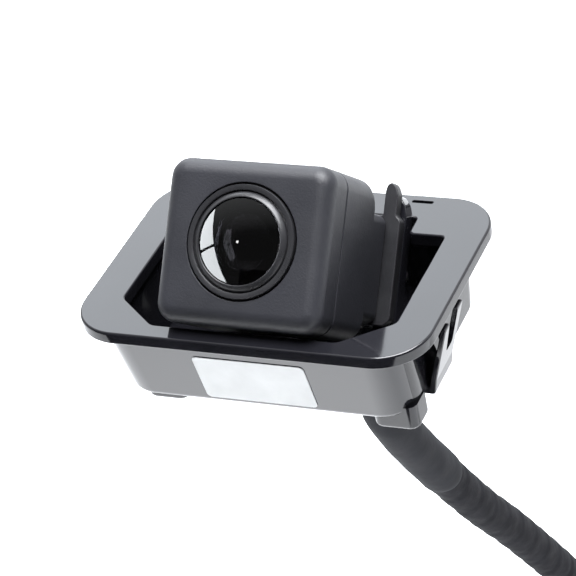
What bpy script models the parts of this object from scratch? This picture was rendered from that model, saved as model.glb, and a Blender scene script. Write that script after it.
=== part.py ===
"""Backup camera on a snap-in trim frame, with its cable and plug.

World frame: metres, +Z up.  The origin is the centre of the flange's underside, the
plane that rests on the vehicle's panel.  +X is the camera's right as seen from the
front, +Y points back into the vehicle.  Lengths below are in millimetres.
"""
import bpy
import bmesh
from math import cos, pi, radians, sin
from mathutils import Matrix, Vector

MM = 0.001
GAP = 0.3                       # clearance between neighbouring pieces

# Trim frame
FLANGE_W, FLANGE_D, FLANGE_T = 57.0, 41.0, 2.0
FLANGE_CORNER = 8.0
OPEN_HALF_W = 22.25             # half width of the opening
OPEN_FRONT_HALF_W = 15.0        # half width of its front edge, between the chamfers
OPEN_FRONT_Y, OPEN_CHAMFER_Y, OPEN_BACK_Y = -17.4, -11.6, 10.3
RECESS_HALF_W, RECESS_Y = 16.3, 14.6    # step in the back edge, for the camera's ears
TUB_DEPTH = 13.3
TUB_HALF_W = 24.6
TUB_FRONT_Y, TUB_BACK_Y = -19.0, 17.5
TUB_CORNER = 5.5
TUB_WALL = 1.6
TUB_ROUND = 1.3                 # rounding of the tub's bottom edge
FRONT_SLOPE = 0.2376            # how far the front wall leans back for each mm down
SIDE_SLOPE = 0.06
BACK_SLOPE = 0.08

# Camera block, measured along its own axes from the centre of the lens on its face
CAMERA_PITCH = 41.5             # degrees between the flange and the optical axis
CAMERA_Y, CAMERA_Z = -11.6, 14.4
BODY_HALF_W, BODY_TOP, BODY_BOTTOM = 13.3, 12.1, -12.6
BODY_CORNER, FACE_FILLET, REAR_FILLET = 3.0, 2.5, 1.6
BODY_WALL, INNER_CORNER = 1.6, 6.0
SEAM_S, BODY_END_S = 6.1, 17.6
NECK_TOP, NECK_BOTTOM, NECK_END_S = 7.6, -9.3, 23.0
NECK_INNER_HALF_W = 10.9
PLATE_S, PLATE_T, PLATE_HALF_W = 23.3, 2.0, 15.3
EAR_INNER, EAR_OUTER, EAR_TOP = 12.4, 14.5, 12.7
POST_T, POST_INNER, POST_OUTER = 3.0, 11.8, 15.3
BRACKET_X, BRACKET_Z = 13.5, -1.0       # screws that hold the plate to the posts
POST_TOP, POST_BOTTOM = 11.0, -10.8
LENS_HOLE_R, RING_HOLE_R = 6.9, 8.8
GLAND_END_S = 36.0

# Snap tongues
TONGUE_FRONT_Y, TONGUE_BACK_Y = -8.3, -0.6
TONGUE_HINGE_X, TONGUE_HINGE_Z = 23.4, -13.0
FORK = [(-6.9, 0.0), (-5.4, -7.6), (-2.6, -7.6), (-2.9, 0.0)]     # notch in its free end, from the side
RECESS_X, ROOT_X, ROOT_TOP_Z = 23.6, 21.4, -12.1        # shallow recess, and its root's slot
SLOT_MARGIN = 0.4               # from the tongue's edges to the recess's ends

# Cable
SLEEVE_D, CABLE_D = 8.2, 7.4
# Route of the cable's centre line beyond the gland, in millimetres
SLEEVE_ROUTE = [(0.0, 17.1, -11.0), (-0.2, 20.8, -15.4), (-0.9, 24.4, -22.3), (-1.8, 26.2, -31.5),
                (-2.4, 26.5, -39.0), (-2.8, 27.5, -45.7), (-3.0, 30.0, -52.2), (-3.0, 36.2, -63.0),
                (-3.0, 46.4, -78.5)]
CABLE_ROUTE = [(-3.0, 46.6, -78.8), (-3.0, 59.8, -97.6), (-3.0, 71.8, -113.4), (-3.0, 86.3, -133.6),
               (-3.0, 100.0, -153.5), (-3.0, 106.0, -164.5), (-3.0, 109.3, -176.0),
               (-3.0, 110.6, -188.0)]


def camera_matrix():
    """Local y runs back along the optical axis, local z up the face."""
    turn = Matrix.Rotation(-radians(CAMERA_PITCH), 4, "X")
    return Matrix.Translation(Vector((0, CAMERA_Y, CAMERA_Z)) * MM) @ turn


# ------------------------------------------------------------------ helpers

def clear_scene():
    for obj in list(bpy.data.objects):
        bpy.data.objects.remove(obj, do_unlink=True)


def material(name, colour, roughness, metallic=0.0, transmission=0.0):
    mat = bpy.data.materials.get(name) or bpy.data.materials.new(name)
    mat.use_nodes = True
    shader = mat.node_tree.nodes["Principled BSDF"]
    shader.inputs["Base Color"].default_value = (*colour, 1.0)
    shader.inputs["Roughness"].default_value = roughness
    shader.inputs["Metallic"].default_value = metallic
    shader.inputs["Transmission Weight"].default_value = transmission
    return mat


def add_object(name, bm, mat, parent=None):
    """Close the bmesh, which is in millimetres, into a named object in metres."""
    bmesh.ops.recalc_face_normals(bm, faces=bm.faces)
    bmesh.ops.scale(bm, vec=(MM, MM, MM), verts=bm.verts)
    mesh = bpy.data.meshes.new(name)
    bm.to_mesh(mesh)
    bm.free()
    mesh.shade_smooth()
    mesh.set_sharp_from_angle(angle=radians(35))
    obj = bpy.data.objects.new(name, mesh)
    bpy.context.scene.collection.objects.link(obj)
    obj.parent = parent
    if mat:
        mesh.materials.append(mat)
    return obj


def add_empty(name, matrix):
    empty = bpy.data.objects.new(name, None)
    bpy.context.scene.collection.objects.link(empty)
    empty.matrix_world = matrix
    return empty


def boolean(obj, other, operation):
    other.hide_render = True
    other.display_type = "WIRE"
    modifier = obj.modifiers.new(operation.title(), "BOOLEAN")
    modifier.operation = operation
    modifier.solver = "EXACT"
    modifier.object = other
    return obj


def rounded_rect(x0, x1, z0, z1, radius, steps=4, between=0):
    """Corner by corner outline, anticlockwise, with the same count for any size.

    between adds points along each straight side, so that a circle can be matched to it.
    """
    points = []
    corners = ((x1, z1, 0), (x0, z1, 90), (x0, z0, 180), (x1, z0, 270))
    for x, z, start in corners:
        cx = x - radius if x == x1 else x + radius
        cz = z - radius if z == z1 else z + radius
        for step in range(steps + 1):
            angle = radians(start + 90 * step / steps)
            points.append((cx + radius * cos(angle), cz + radius * sin(angle)))
    if not between:
        return points
    filled = []
    for index, point in enumerate(points):
        filled.append(point)
        if index % (steps + 1) == steps:
            after = Vector(points[(index + 1) % len(points)])
            for k in range(1, between + 1):
                filled.append(tuple(Vector(point).lerp(after, k / (between + 1))))
    return filled


def circle_like(outline, radius):
    """A circle round the origin whose points lie in the same directions as an outline's."""
    return [tuple(Vector(point).normalized() * radius) for point in outline]


def circle(radius, count, cx=0.0, cz=0.0):
    return [(cx + radius * cos(2 * pi * i / count), cz + radius * sin(2 * pi * i / count))
            for i in range(count)]


def loft(sections, ring=False, axis="y"):
    """Skin (place, outline) sections; ring joins the last to the first instead of capping."""
    bm = bmesh.new()
    loops = []
    for place, outline in sections:
        if axis == "y":
            loops.append([bm.verts.new((x, place, z)) for x, z in outline])
        else:
            loops.append([bm.verts.new((x, y, place)) for x, y in outline])
    pairs = list(zip(loops, loops[1:]))
    if ring:
        pairs.append((loops[-1], loops[0]))
    count = len(loops[0])
    for a, b in pairs:
        for i in range(count):
            j = (i + 1) % count
            bm.faces.new((a[i], a[j], b[j], b[i]))
    if not ring:
        bm.faces.new(loops[0])
        bm.faces.new(loops[-1])
    return bm


def turned(profile, count=32, ring=False, cx=0.0, cz=0.0):
    """Turn (radius, y) points about the y axis; a ring profile is a closed loop."""
    return loft([(y, circle(r, count, cx, cz)) for r, y in profile], ring=ring)


def box(x0, x1, y0, y1, z0, z1):
    outline = [(x0, z0), (x1, z0), (x1, z1), (x0, z1)]
    return loft([(y0, outline), (y1, outline)])


def inset(sizes, amount):
    x0, x1, z0, z1 = sizes
    return x0 + amount, x1 - amount, z0 + amount, z1 - amount


def fillet_steps(radius, steps=4):
    """(depth along the axis, inset) pairs of a quarter round, from its face outwards."""
    return [(radius * (1 - sin(radians(90 * i / steps))), radius * (1 - cos(radians(90 * i / steps))))
            for i in range(steps, -1, -1)]


# ------------------------------------------------------------------ materials

GLOSS = material("gloss_black_abs", (0.012, 0.012, 0.015), 0.12)
HOUSING = material("matte_grey_nylon", (0.075, 0.078, 0.09), 0.55)
PLATE = material("satin_black_plate", (0.04, 0.04, 0.045), 0.45)
RING = material("black_anodised_ring", (0.02, 0.02, 0.022), 0.3, 0.4)
GLASS = material("coated_glass", (0.6, 0.65, 0.7), 0.02, 0.0, 1.0)
RUBBER = material("black_rubber", (0.02, 0.02, 0.02), 0.75)
BARREL = material("black_barrel", (0.015, 0.015, 0.016), 0.4)
BOARD = material("green_board", (0.02, 0.14, 0.05), 0.45)
CHIP = material("black_chip", (0.02, 0.02, 0.025), 0.4)
SENSOR = material("sensor_face", (0.06, 0.09, 0.12), 0.15, 0.3)
TIN = material("tinned_steel", (0.6, 0.6, 0.58), 0.3, 1.0)
STEEL = material("zinc_steel", (0.55, 0.55, 0.53), 0.35, 1.0)
BRASS = material("brass", (0.7, 0.5, 0.2), 0.3, 1.0)
IVORY = material("ivory_plastic", (0.7, 0.66, 0.55), 0.5)
SLEEVE = material("grey_sleeve", (0.12, 0.125, 0.14), 0.5)
TAPE = material("black_tape", (0.03, 0.03, 0.033), 0.45)
PAPER = material("white_label", (0.85, 0.86, 0.86), 0.5)
PLUG = material("dark_grey_plug", (0.03, 0.03, 0.035), 0.4)
SEAL = material("orange_silicone", (0.75, 0.2, 0.04), 0.5)


# ------------------------------------------------------------------ trim frame

def tub_outline(z, grow=0.0):
    """Plan of the tub's wall at height z, moved out by grow."""
    half_w = TUB_HALF_W + SIDE_SLOPE * z + grow
    front = TUB_FRONT_Y - FRONT_SLOPE * z - grow
    back = TUB_BACK_Y + BACK_SLOPE * z + grow
    return rounded_rect(-half_w, half_w, front, back, TUB_CORNER + grow, 5)


def make_frame():
    rim = rounded_rect(-FLANGE_W / 2, FLANGE_W / 2, -FLANGE_D / 2, FLANGE_D / 2, FLANGE_CORNER, 7)
    rim_low = rounded_rect(-FLANGE_W / 2 + 0.3, FLANGE_W / 2 - 0.3, -FLANGE_D / 2 + 0.3,
                           FLANGE_D / 2 - 0.3, FLANGE_CORNER - 0.3, 7)
    flange = add_object("bezel_frame", loft([(0, rim_low), (0.3, rim), (FLANGE_T - 0.3, rim),
                                             (FLANGE_T, rim_low)], axis="z"), GLOSS)

    tub_sections = [(0.5, tub_outline(0))]
    tub_sections.append((0, tub_outline(0)))
    for rise, shrink in reversed(fillet_steps(TUB_ROUND)):
        z = -TUB_DEPTH + rise
        tub_sections.append((z, tub_outline(z, -shrink)))
    tub = add_object("tub_body", loft(tub_sections, axis="z"), None)
    boolean(flange, tub, "UNION")

    feet = (("foot_left_body", (-20.2, -13.3, -15.2, -8.7), -TUB_DEPTH + 1.0, -TUB_DEPTH - 0.9),
            ("foot_right_body", (16.9, 24.1, -14.7, -9.0), -11.5, -TUB_DEPTH - 2.4))
    for name, sizes, top, bottom in feet:
        foot = rounded_rect(*sizes, 1.5, 3)
        low = rounded_rect(*inset(sizes, 0.6), 0.9, 3)
        body = loft([(bottom, low), (bottom + 0.6, foot), (top, foot)], axis="z")
        boolean(flange, add_object(name, body, None), "UNION")

    floor_z = -TUB_DEPTH + TUB_WALL
    hollow = loft([(z, tub_outline(z, -TUB_WALL)) for z in (floor_z, -0.02)], axis="z")
    boolean(flange, add_object("tub_hollow", hollow, None), "DIFFERENCE")

    opening = [(-OPEN_FRONT_HALF_W, OPEN_FRONT_Y), (OPEN_FRONT_HALF_W, OPEN_FRONT_Y),
               (OPEN_HALF_W, OPEN_CHAMFER_Y), (OPEN_HALF_W, OPEN_BACK_Y),
               (RECESS_HALF_W, OPEN_BACK_Y), (RECESS_HALF_W, RECESS_Y),
               (-RECESS_HALF_W, RECESS_Y), (-RECESS_HALF_W, OPEN_BACK_Y),
               (-OPEN_HALF_W, OPEN_BACK_Y), (-OPEN_HALF_W, OPEN_CHAMFER_Y)]
    hole = loft([(-0.6, opening), (FLANGE_T + 1, opening)], axis="z")
    boolean(flange, add_object("opening_hole", hole, None), "DIFFERENCE")

    notch = box(-8.0, 8.0, 5.5, TUB_BACK_Y + 1.0, -TUB_DEPTH - 1, -2.4)
    boolean(flange, add_object("cable_notch", notch, None), "DIFFERENCE")

    for side in (-1, 1):
        for inner_x, top in ((RECESS_X, -0.9), (ROOT_X, ROOT_TOP_Z)):
            x0, x1 = sorted((side * inner_x, side * (TUB_HALF_W + 1)))
            slot = box(x0, x1, TONGUE_FRONT_Y - SLOT_MARGIN, TONGUE_BACK_Y + SLOT_MARGIN,
                       -TUB_DEPTH - 1, top)
            boolean(flange, add_object("tongue_slot", slot, None), "DIFFERENCE")

    pry_slot = box(13.95, 17.5, 18.3, 19.05, 0.8, FLANGE_T + 1)
    boolean(flange, add_object("pry_slot", pry_slot, None), "DIFFERENCE")

    camera = camera_matrix()
    for side in (-1, 1):
        inner, outer = side * POST_INNER, side * POST_OUTER
        post = [(inner, POST_BOTTOM), (outer, POST_BOTTOM), (outer, POST_TOP - 3.0),
                (outer - side * 0.5, POST_TOP - 1.2), (outer - side * 1.5, POST_TOP), (inner, POST_TOP)]
        start = PLATE_S + PLATE_T + GAP
        body = add_object("post_body", loft([(start, post), (start + POST_T, post)]), None)
        body.matrix_world = camera
        boolean(flange, body, "UNION")
        hole = turned([(0.9, start - 1), (0.9, start + POST_T + 1)], 12, cx=side * BRACKET_X,
                      cz=BRACKET_Z)
        cutter = add_object("post_hole", hole, None)
        cutter.matrix_world = camera
        boolean(flange, cutter, "DIFFERENCE")
    return flange


def make_tongues():
    """Forked spring tongues; each is rooted at the tub's bottom edge and turns there, along Y."""
    profile = [(-1.7, -0.6), (1.2, -0.7), (1.5, -0.4), (2.0, 2.0), (4.9, 11.4), (4.9, 11.8),
               (4.2, 11.8), (1.2, 2.4), (0.8, 0.6), (-1.7, 0.6)]
    for name, side in (("snap_tongue_left", -1), ("snap_tongue_right", 1)):
        outline = [(side * x, z) for x, z in profile]
        body = loft([(TONGUE_FRONT_Y, outline), (TONGUE_BACK_Y, outline)])
        tongue = add_object(name, body, GLOSS)
        tongue.location = Vector((side * TONGUE_HINGE_X, 0, TONGUE_HINGE_Z)) * MM
        ends = sorted((-side * (TONGUE_HINGE_X - 1), -side * (TONGUE_HINGE_X + 7)))
        notch = add_object("fork_notch", loft([(end, FORK) for end in ends]), None)
        notch.matrix_world = Matrix.Rotation(radians(90), 4, "Z")
        boolean(tongue, notch, "DIFFERENCE")


def make_label():
    lean = Matrix.Rotation(radians(-13.36), 4, "X")
    place = Matrix.Translation(Vector((0.2, TUB_FRONT_Y - GAP - 0.1, 0)) * MM)
    outline = rounded_rect(-9.1, 9.1, -12.1, -2.6, 0.8, 3)
    label = add_object("label", loft([(-0.2, outline), (0.0, outline)]), PAPER)
    label.matrix_world = place @ lean.inverted()


# ------------------------------------------------------------------ camera block

BODY = (-BODY_HALF_W, BODY_HALF_W, BODY_BOTTOM, BODY_TOP)
NECK = (-BODY_HALF_W, BODY_HALF_W, NECK_BOTTOM, NECK_TOP)
SCREW_PLACES = [(side * 10.6, z) for side in (-1, 1) for z in (9.4, -10.9)]


def shell_outline(sizes, amount, radius):
    return rounded_rect(*inset(sizes, amount), radius, 4, 5)


def drill(obj, parent, x, z, radius, y0, y1):
    cutter = add_object(obj.name + "_drill", turned([(radius, y0), (radius, y1)], 12, cx=x, cz=z),
                        None, parent)
    return boolean(obj, cutter, "DIFFERENCE")


def make_housings(camera):
    full = shell_outline(BODY, 0, BODY_CORNER)
    sections = []
    for depth, shrink in fillet_steps(FACE_FILLET):
        sections.append((depth, shell_outline(BODY, shrink, max(BODY_CORNER - shrink, 0.8))))
    sections.append((SEAM_S, full))
    inner = shell_outline(BODY, BODY_WALL, INNER_CORNER)
    sections += [(SEAM_S, inner), (2.3, inner), (2.3, circle_like(inner, LENS_HOLE_R)),
                 (1.4, circle_like(inner, LENS_HOLE_R)), (1.4, circle_like(inner, RING_HOLE_R)),
                 (0.0, circle_like(inner, RING_HOLE_R))]
    front = add_object("front_housing", loft(sections, ring=True), HOUSING, camera)

    start = SEAM_S + GAP
    sections = [(start, full)]
    for depth, shrink in reversed(fillet_steps(REAR_FILLET)):
        ends = rounded_rect(-BODY_HALF_W, BODY_HALF_W, BODY_BOTTOM + shrink / 2, BODY_TOP - shrink,
                            BODY_CORNER, 4, 5)
        sections.append((BODY_END_S - depth, ends))
    neck = shell_outline(NECK, 0.1, 1.6)
    neck_inner = rounded_rect(-NECK_INNER_HALF_W, NECK_INNER_HALF_W, NECK_BOTTOM + BODY_WALL,
                              NECK_TOP - BODY_WALL, 1.5, 4, 5)
    bore = circle_like(neck_inner, 4.4)
    sections += [(BODY_END_S, neck), (NECK_END_S, neck), (NECK_END_S, bore), (NECK_END_S - 1.4, bore),
                 (NECK_END_S - 1.4, neck_inner), (BODY_END_S - 1.6, neck_inner),
                 (BODY_END_S - 1.6, inner), (start, inner)]
    rear = add_object("rear_housing", loft(sections, ring=True), HOUSING, camera)
    for x, z in SCREW_PLACES:
        drill(front, camera, x, z, 0.8, 3.4, SEAM_S + 1)
        drill(rear, camera, x, z, 0.8, SEAM_S - 1, BODY_END_S + 1)

    outer = shell_outline(BODY, BODY_WALL + GAP, INNER_CORNER)
    inside = shell_outline(BODY, BODY_WALL + GAP + 0.9, INNER_CORNER - 0.9)
    rings = [(4.4, outer), (7.6, outer), (7.6, inside), (4.4, inside)]
    add_object("housing_gasket", loft(rings, ring=True), SEAL, camera)


def make_screw(name, camera, x, z, head_s, tip_s, head_r, shank_r):
    """Pan head at the rear, shank towards the front."""
    height = 0.9
    profile = [(shank_r * 0.5, tip_s), (shank_r, tip_s + 0.5), (shank_r, head_s), (head_r, head_s),
               (head_r, head_s + 0.5 * height), (head_r * 0.6, head_s + height)]
    return add_object(name, turned(profile, 12, cx=x, cz=z), STEEL, camera)


def make_plate(camera):
    points = [(-PLATE_HALF_W, NECK_BOTTOM + 1.0), (-PLATE_HALF_W + 1.0, NECK_BOTTOM),
              (PLATE_HALF_W - 1.0, NECK_BOTTOM), (PLATE_HALF_W, NECK_BOTTOM + 1.0)]
    ear = [(PLATE_HALF_W, NECK_TOP - 0.6), (EAR_OUTER, NECK_TOP), (EAR_OUTER, EAR_TOP - 1.6),
           (EAR_OUTER - 0.5, EAR_TOP - 0.5), (EAR_OUTER - 1.1, EAR_TOP),
           (EAR_INNER + 0.3, EAR_TOP - 0.3), (EAR_INNER, EAR_TOP - 1.2), (EAR_INNER, NECK_TOP)]
    points += ear + [(-x, z) for x, z in reversed(ear)]
    plate = add_object("mounting_plate", loft([(PLATE_S, points), (PLATE_S + PLATE_T, points)]),
                       PLATE, camera)
    cutter = add_object("plate_bore", turned([(4.4, PLATE_S - 1), (4.4, PLATE_S + 5)], 24), None, camera)
    boolean(plate, cutter, "DIFFERENCE")
    for side, word in ((-1, "left"), (1, "right")):
        drill(plate, camera, side * BRACKET_X, BRACKET_Z, 0.8, PLATE_S + 0.6, PLATE_S + PLATE_T + 1)
        head = PLATE_S + PLATE_T + GAP + POST_T + GAP
        make_screw("bracket_screw_" + word, camera, side * BRACKET_X, BRACKET_Z, head, PLATE_S + 0.9,
                   1.8, 0.55)


def make_lens(camera):
    ring = [(8.5, 1.1), (8.5, -0.1), (8.15, -0.35), (7.7, -0.35), (7.6, -0.1), (7.4, -0.1),
            (7.25, -0.35), (6.65, -0.85), (6.55, -0.8), (6.55, 1.1)]
    add_object("lens_trim_ring", turned(ring, 40, ring=True), RING, camera)
    add_object("front_lens", turned([(0.4, -1.6), (2.3, -1.5), (4.2, -1.2), (5.6, -0.85), (6.25, -0.6),
                                     (6.25, 0.7), (4.6, 0.7), (3.4, -0.2), (0.4, -0.5)], 32), GLASS, camera)
    barrel = [(6.5, 1.4), (6.5, 2.2), (6.0, 2.2), (6.0, 10.6), (4.4, 10.6), (4.4, 9.9),
              (4.0, 9.9), (4.0, 3.4), (4.7, 3.0), (4.7, 1.4)]
    add_object("lens_barrel", turned(barrel, 32, ring=True), BARREL, camera)
    o_ring = [(6.8 + 0.5 * cos(2 * pi * i / 8), 3.1 + 0.5 * sin(2 * pi * i / 8)) for i in range(8)]
    add_object("lens_o_ring", turned(o_ring, 32, ring=True), RUBBER, camera)
    add_object("middle_lens", turned([(0.3, 4.0), (2.2, 4.2), (3.7, 4.8), (3.7, 5.6), (2.2, 6.1),
                                      (0.3, 6.3)], 24), GLASS, camera)
    stop = [(3.7, 6.7), (3.7, 7.1), (1.1, 7.1), (1.1, 6.7)]
    add_object("aperture_stop", turned(stop, 24, ring=True), BARREL, camera)
    add_object("rear_lens", turned([(0.3, 7.5), (2.2, 7.7), (3.7, 8.2), (3.7, 9.1), (2.2, 9.4),
                                    (0.3, 9.5)], 24), GLASS, camera)
    outline = rounded_rect(-7.8, 7.8, -7.3, 7.3, 1.2, 4, 5)
    bore = circle_like(outline, 6.3)
    socket = circle_like(outline, 7.4)
    holder = [(5.0, bore), (5.0, socket), (9.6, socket), (9.6, outline), (11.4, outline), (11.4, bore)]
    add_object("lens_holder", loft(holder, ring=True), BARREL, camera)
    add_object("ir_filter", box(-3.6, 3.6, 10.95, 11.35, -3.6, 3.6), GLASS, camera)


def make_electronics(camera):
    add_object("image_sensor", box(-3.8, 3.8, 11.8, 12.6, -3.2, 3.2), SENSOR, camera)
    board = rounded_rect(-9.0, 9.0, -8.2, 8.0, 1.0, 3)
    add_object("sensor_board", loft([(12.9, board), (13.9, board)]), BOARD, camera)
    add_object("board_link", box(-5.0, 5.0, 14.2, 16.9, -6.6, -4.6), IVORY, camera)
    small = rounded_rect(-9.6, 9.6, -7.1, 5.6, 1.0, 3)
    add_object("video_board", loft([(17.2, small), (18.2, small)]), BOARD, camera)
    add_object("video_chip", box(-3.2, 3.2, 18.5, 19.4, -1.6, 4.4), CHIP, camera)
    add_object("oscillator_can", box(4.6, 8.0, 18.5, 19.6, 0.2, 2.6), TIN, camera)
    add_object("board_plug", box(-4.6, 4.6, 18.5, 20.9, -6.6, -2.8), IVORY, camera)
    can = rounded_rect(-6.0, 6.0, -2.6, 5.4, 0.6, 2)
    can_inner = rounded_rect(-5.6, 5.6, -2.2, 5.0, 0.3, 2)
    add_object("shield_can", loft([(14.6, can_inner), (14.2, can_inner), (14.2, can), (16.4, can),
                                   (16.4, rounded_rect(-4.0, 4.0, -1.0, 3.8, 0.3, 2)),
                                   (16.0, rounded_rect(-4.0, 4.0, -1.0, 3.8, 0.3, 2)),
                                   (16.0, can_inner)], ring=True), TIN, camera)


def make_gland(camera):
    """Nut and tapered strain relief, through the mounting plate and into the neck."""
    base = PLATE_S + PLATE_T + GAP
    profile = [(4.0, NECK_END_S - 1.2), (4.0, base), (5.2, base), (5.2, base + 2.2), (4.9, base + 2.6)]
    ribs = 4
    pitch = (GLAND_END_S - base - 2.8) / ribs
    for i in range(ribs):
        start = base + 2.8 + i * pitch
        profile += [(4.35, start), (4.75 - 0.08 * i, start + 0.3), (4.75 - 0.08 * i, start + pitch - 0.7),
                    (4.35, start + pitch - 0.4)]
    profile.append((4.2, GLAND_END_S))
    add_object("cable_gland", turned(profile, 24), RUBBER, camera)


# ------------------------------------------------------------------ cable and plug

def smooth_points(route, spacing):
    """Even points along a Catmull-Rom curve through the route."""
    knots = [Vector(p) for p in route]
    knots = [2 * knots[0] - knots[1]] + knots + [2 * knots[-1] - knots[-2]]
    dense = []
    for p0, p1, p2, p3 in zip(knots, knots[1:], knots[2:], knots[3:]):
        for step in range(24):
            t = step / 24
            dense.append(0.5 * (2 * p1 + (p2 - p0) * t + (2 * p0 - 5 * p1 + 4 * p2 - p3) * t * t
                                + (3 * p1 - p0 - 3 * p2 + p3) * t ** 3))
    dense.append(knots[-2])
    places = [0.0]
    for a, b in zip(dense, dense[1:]):
        places.append(places[-1] + (b - a).length)
    count = max(2, round(places[-1] / spacing))
    points = []
    k = 0
    for i in range(count + 1):
        target = places[-1] * i / count
        while k < len(dense) - 2 and places[k + 1] < target:
            k += 1
        share = (target - places[k]) / (places[k + 1] - places[k])
        points.append(dense[k].lerp(dense[k + 1], min(share, 1.0)))
    return points


def add_cord(name, points, diameter, mat):
    curve = bpy.data.curves.new(name, "CURVE")
    curve.dimensions = "3D"
    curve.bevel_depth = diameter / 2 * MM
    curve.bevel_resolution = 3
    curve.use_fill_caps = True
    spline = curve.splines.new("POLY")
    spline.points.add(len(points) - 1)
    for point, place in zip(spline.points, points):
        point.co = (*(place * MM), 1.0)
    obj = bpy.data.objects.new(name, curve)
    bpy.context.scene.collection.objects.link(obj)
    curve.materials.append(mat)
    return obj


def make_cord():
    end = camera_matrix() @ (Vector((0, GLAND_END_S + GAP, 0)) * MM) / MM
    sleeve = smooth_points([tuple(end)] + SLEEVE_ROUTE, 6.0)
    add_cord("cable_sleeve", sleeve, SLEEVE_D, SLEEVE)
    cable = smooth_points(CABLE_ROUTE, 12.0)
    add_cord("camera_cable", cable, CABLE_D, TAPE)
    return cable[-1], (cable[-1] - cable[-2]).normalized()


def make_plug(end, along):
    """Inline plug; local y runs on from the cable, local z is the latch's side."""
    side = Vector((1, 0, 0))
    up = side.cross(along)
    frame = Matrix((side, along, up)).transposed().to_4x4()
    frame.translation = (end + along * GAP) * MM
    plug = add_empty("plug_axis", frame)

    add_object("connector_boot", turned([(4.1, 0.0), (4.1, 1.5), (4.8, 2.5), (4.8, 6.0)], 20),
               RUBBER, plug)
    shell = [(6.3, 7.6), (7.1, 8.4), (22.0, 8.4), (22.0, 7.6)]
    back = rounded_rect(-6.6, 6.6, -4.4, 4.4, 1.2, 3)
    body = rounded_rect(-7.6, 7.6, -5.0, 5.0, 1.4, 3)
    nose = rounded_rect(-6.8, 6.8, -4.2, 4.2, 1.0, 3)
    housing = add_object("connector_housing",
                         loft([(shell[0][0], back), (shell[1][0], body), (17.0, body), (17.0, nose),
                               (shell[2][0], nose)]), PLUG, plug)
    for name, x, z in (("terminal_a", -2.6, 1.5), ("terminal_b", 2.6, 1.5),
                       ("terminal_c", -2.6, -1.9), ("terminal_d", 2.6, -1.9)):
        drill(housing, plug, x, z, 1.2, 9.0, 23.0)
        add_object("connector_" + name, turned([(0.8, 9.4), (0.8, 19.5), (0.5, 20.2)], 10, cx=x, cz=z),
                   BRASS, plug)
    seal_outer = rounded_rect(-7.4, 7.4, -4.8, 4.8, 1.2, 3)
    seal_inner = rounded_rect(-7.1, 7.1, -4.5, 4.5, 1.0, 3)
    add_object("connector_seal", loft([(17.3, seal_inner), (17.3, seal_outer), (18.8, seal_outer),
                                       (18.8, seal_inner)], ring=True), SEAL, plug)

    hinge = Matrix.Translation(Vector((0, 13.0, 6.0)) * MM)
    pivot = add_empty("latch_axis", frame @ hinge)
    lever = [(-5.2, 0.3), (-4.8, 1.3), (-1.0, 0.5), (6.2, 0.5), (7.0, -0.2), (6.6, -0.9), (5.8, -0.2),
             (-0.9, -0.5), (-5.2, -0.3)]
    bm = bmesh.new()
    left = [bm.verts.new((-3.0, y, z)) for y, z in lever]
    right = [bm.verts.new((3.0, y, z)) for y, z in lever]
    bm.faces.new(left)
    bm.faces.new(list(reversed(right)))
    for i in range(len(lever)):
        j = (i + 1) % len(lever)
        bm.faces.new((left[i], right[i], right[j], left[j]))
    add_object("connector_latch", bm, PLUG, pivot)


# ------------------------------------------------------------------ build

def main():
    clear_scene()
    make_frame()
    make_tongues()
    make_label()
    camera = add_empty("camera_axis", camera_matrix())
    make_housings(camera)
    for index, (x, z) in enumerate(SCREW_PLACES):
        make_screw(f"housing_screw_{index + 1}", camera, x, z, BODY_END_S + GAP, 3.8, 1.1, 0.5)
    make_plate(camera)
    make_lens(camera)
    make_electronics(camera)
    make_gland(camera)
    make_plug(*make_cord())


main()
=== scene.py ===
"""Looks of a snap-in backup camera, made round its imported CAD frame.

Lengths are millimetres in the CAD's own frame until a mesh is finished: the origin is the
centre of the flange's underside, +X is right from the front, +Y is back and +Z is up.
"""
from math import cos, pi, radians, sin, tau

import bmesh
import bpy
from mathutils import Matrix, Vector


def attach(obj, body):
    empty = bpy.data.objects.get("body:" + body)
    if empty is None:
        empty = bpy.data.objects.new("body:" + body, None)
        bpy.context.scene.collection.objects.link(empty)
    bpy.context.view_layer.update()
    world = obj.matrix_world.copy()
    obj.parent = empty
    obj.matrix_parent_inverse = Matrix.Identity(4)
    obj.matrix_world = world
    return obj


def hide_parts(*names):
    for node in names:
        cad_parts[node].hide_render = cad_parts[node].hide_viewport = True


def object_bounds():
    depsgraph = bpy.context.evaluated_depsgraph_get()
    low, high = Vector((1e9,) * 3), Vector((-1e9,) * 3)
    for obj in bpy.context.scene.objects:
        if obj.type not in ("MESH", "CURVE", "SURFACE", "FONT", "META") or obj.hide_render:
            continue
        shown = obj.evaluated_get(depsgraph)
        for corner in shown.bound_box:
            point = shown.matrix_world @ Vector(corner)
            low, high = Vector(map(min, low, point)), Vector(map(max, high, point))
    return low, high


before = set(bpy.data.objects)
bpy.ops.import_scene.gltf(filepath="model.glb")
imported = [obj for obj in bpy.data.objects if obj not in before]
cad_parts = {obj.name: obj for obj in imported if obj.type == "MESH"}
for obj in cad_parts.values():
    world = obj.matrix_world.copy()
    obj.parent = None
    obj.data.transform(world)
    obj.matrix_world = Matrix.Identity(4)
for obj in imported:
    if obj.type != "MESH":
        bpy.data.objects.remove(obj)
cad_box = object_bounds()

MM = 0.001
GAP = 0.3                       # clearance between neighbouring pieces
AXIS_R = 0.05                   # radius where a turned profile ends on its axis
BODY = "camera"                 # the fixed body; the tongues and the plug's latch have their own

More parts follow.
